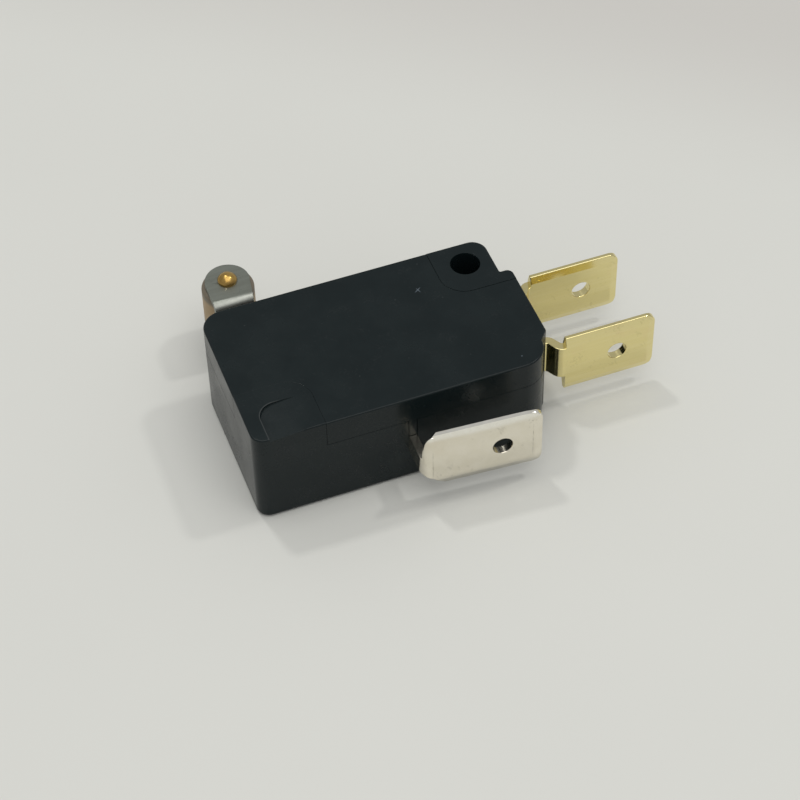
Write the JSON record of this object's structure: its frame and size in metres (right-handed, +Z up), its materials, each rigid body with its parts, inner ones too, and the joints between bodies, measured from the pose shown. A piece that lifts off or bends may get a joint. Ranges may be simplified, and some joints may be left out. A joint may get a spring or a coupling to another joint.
{
  "type": "micro switch",
  "caption": "Snap-action micro switch in a black moulded case with a mounting hole, a hinged roller lever, a bent common tab and brass contact tabs with detent holes.",
  "frame": {"origin": "on the mounting hole's axis, in the lower broad face on which the switch lies", "axes": "+X along the body towards the end with the contact tabs, +Y towards the lever's side, +Z up through the body's thickness"},
  "size_m": [0.0383, 0.0276, 0.01],
  "materials": {
    "black_plastic": "satin moulded black with faint scuffs",
    "red_plastic": "smooth moulded red",
    "lever_steel": "rolled stainless sheet, dull grey",
    "pin_steel": "plain drawn steel",
    "roller_tan": "turned tan plastic",
    "axle_brass": "riveted brass",
    "plated": "silver-white plating with fine scratches",
    "tab_brass": "bright stamped brass",
    "contact_silver": "bright contact metal",
    "blade_bronze": "thin rolled bronze"
  },
  "bodies": {
    "body": {"case": "black_plastic", "cover": "black_plastic", "hinge_pin": "pin_steel", "com_terminal": "plated", "no_terminal": "tab_brass", "nc_terminal": "tab_brass", "no_contact": "contact_silver", "nc_contact": "contact_silver"},
    "lever": {"roller_lever": "lever_steel", "roller_axle": "axle_brass"},
    "roller": {"roller": "roller_tan"},
    "plunger": {"plunger": "red_plastic"},
    "blade": {"contact_blade": "blade_bronze", "moving_contact": "contact_silver"},
    "spring": {"snap_spring": "pin_steel"}
  },
  "joints": [
    {"name": "lever_hinge", "type": "hinge", "parent": "body", "child": "lever", "pos_m": [0.0002, 0.0037, 0.005], "axis": [0, 0, 1], "range_deg": [0, 5.54], "stiffness_Nm_per_rad": 0.15, "springref_deg": -5.73},
    {"name": "roller_spin", "type": "hinge", "parent": "lever", "child": "roller", "pos_m": [-0.0199, 0.0079, 0.005], "axis": [0, 0, 1], "continuous": true},
    {"name": "plunger_slide", "type": "slide", "parent": "body", "child": "plunger", "axis": [0, -1, 0], "range_m": [0, 0.00151]},
    {"name": "blade_rock", "type": "hinge", "parent": "body", "child": "blade", "pos_m": [-0.00975, -0.00525, 0.005], "axis": [0, 0, -1], "range_deg": [0, 8.7]},
    {"name": "spring_swing", "type": "hinge", "parent": "plunger", "child": "spring", "pos_m": [-0.0153, -0.00405, 0.005], "axis": [0, 0, 1], "range_deg": [0, 3.4]}
  ],
  "couplings": [
    {"joint": "plunger_slide", "follows": "lever_hinge", "m_per_rad": 0.0155},
    {"joint": "blade_rock", "follows": "lever_hinge", "ratio": 1.5612},
    {"joint": "spring_swing", "follows": "lever_hinge", "ratio": 0.6074}
  ]
}
